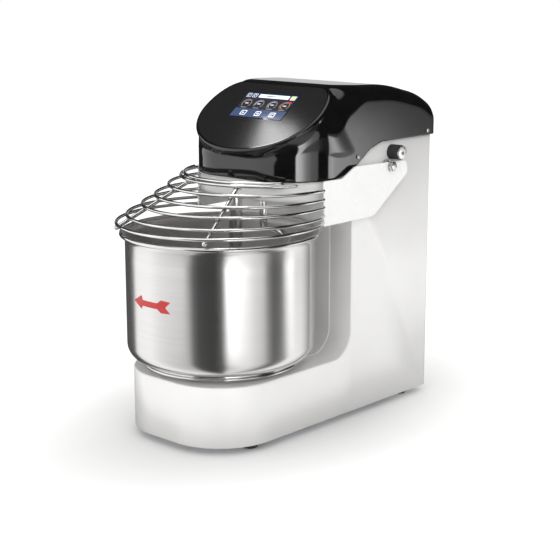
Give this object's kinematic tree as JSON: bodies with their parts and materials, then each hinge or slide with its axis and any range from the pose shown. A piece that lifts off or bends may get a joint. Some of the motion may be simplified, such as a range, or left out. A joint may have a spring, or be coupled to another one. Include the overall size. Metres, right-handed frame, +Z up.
{
  "type": "spiral dough mixer",
  "caption": "Bench spiral dough mixer with turning steel bowl, fixed head, breaker bar, spiral hook, lift-up wire guard and sloping touch panel.",
  "frame": {"origin": "middle of the machine's outline, on the floor under the feet", "axes": "+Z up, the bowl and guard face -Y, +X is the machine's left side seen from behind (right in a front view)"},
  "size_m": [0.2872, 0.4828, 0.4731],
  "materials": {
    "white_paint": "satin powder coat",
    "gloss_black": "polished",
    "panel_grey": "satin",
    "screen_glass": "polished",
    "display": "matt",
    "circuit_board": "matt",
    "bowl_steel": "brushed",
    "polished_steel": "polished",
    "chrome_wire": "polished",
    "fastener_steel": "bright",
    "machined_steel": "machined",
    "galvanised": "zinc coated",
    "cast_alloy": "cast",
    "black_rubber": "matt",
    "black_plastic": "matt"
  },
  "bodies": {
    "chassis": {"body_shell": "white_paint", "bottom_plate": "galvanised", "bowl_bearings": "machined_steel", "bowl_chain": "machined_steel", "bowl_housing": "cast_alloy", "breaker_bar": "polished_steel", "breaker_bolts": "fastener_steel", "buffer_screws": "fastener_steel", "control_board": "circuit_board", "control_panel": "panel_grey", "cover_screws": "fastener_steel", "deck_plate": "white_paint", "display_module": "display", "drive_belt": "black_rubber", "guard_sensor": "black_plastic", "head_cover": "gloss_black", "head_pan": "white_paint", "head_plate": "galvanised", "inverter_box": "cast_alloy", "motor_body": "cast_alloy", "motor_mount": "galvanised", "panel_screws": "fastener_steel", "pivot_bolts": "fastener_steel", "pivot_bushes": "machined_steel", "power_inlet": "black_plastic", "rear_panel": "white_paint", "rubber_feet": "black_rubber", "shaft_bearings": "machined_steel", "shaft_bracket": "galvanised", "spiral_chain": "machined_steel", "spiral_housing": "cast_alloy", "spiral_seal": "black_rubber", "stop_buffers": "black_rubber", "switch_housing": "black_plastic", "touch_glass": "screen_glass"},
    "turning_bowl": {"bowl": "bowl_steel", "turntable": "bowl_steel", "bowl_shaft": "machined_steel", "bowl_sprocket": "machined_steel"},
    "spiral": {"spiral_hook": "polished_steel", "spiral_shaft": "machined_steel", "spiral_sprocket": "machined_steel"},
    "countershaft": {"main_shaft": "machined_steel", "driven_pulley": "cast_alloy", "main_top_sprocket": "machined_steel", "main_low_sprocket": "machined_steel"},
    "rotor": {"motor_shaft": "machined_steel", "motor_pulley": "cast_alloy"},
    "guard": {"guard_arm_left": "white_paint", "guard_arm_right": "white_paint", "guard_rib_left": "chrome_wire", "guard_rib_right": "chrome_wire", "guard_ring_1": "chrome_wire", "guard_ring_2": "chrome_wire", "guard_ring_3": "chrome_wire", "guard_ring_4": "chrome_wire", "guard_ring_5": "chrome_wire", "guard_ring_6": "chrome_wire", "guard_ring_7": "chrome_wire"},
    "switch_rocker": {"power_switch": "black_plastic"}
  },
  "joints": [
    {"name": "bowl_spin", "type": "hinge", "parent": "chassis", "child": "turning_bowl", "pos_m": [0, -0.09857, 0], "axis": [0, 0, 1], "continuous": true},
    {"name": "spiral_spin", "type": "hinge", "parent": "chassis", "child": "spiral", "pos_m": [0.0282, -0.04258, 0], "axis": [0, 0, 1], "continuous": true},
    {"name": "countershaft_spin", "type": "hinge", "parent": "chassis", "child": "countershaft", "pos_m": [-0.035, 0.09143, 0], "axis": [0, 0, 1], "continuous": true},
    {"name": "motor_spin", "type": "hinge", "parent": "chassis", "child": "rotor", "pos_m": [0.025, 0.16942, 0], "axis": [0, 0, 1], "continuous": true},
    {"name": "guard_hinge", "type": "hinge", "parent": "chassis", "child": "guard", "pos_m": [0, 0.12223, 0.3565], "axis": [-1, 0, 0], "range_deg": [0, 74]},
    {"name": "switch_rock", "type": "hinge", "parent": "chassis", "child": "switch_rocker", "pos_m": [-0.012, 0.23192, 0.074], "axis": [1, 0, 0], "range_deg": [0, 16]}
  ],
  "couplings": [
    {"joint": "countershaft_spin", "follows": "bowl_spin", "ratio": 5},
    {"joint": "spiral_spin", "follows": "bowl_spin", "ratio": 7.6923},
    {"joint": "motor_spin", "follows": "bowl_spin", "ratio": 25}
  ]
}
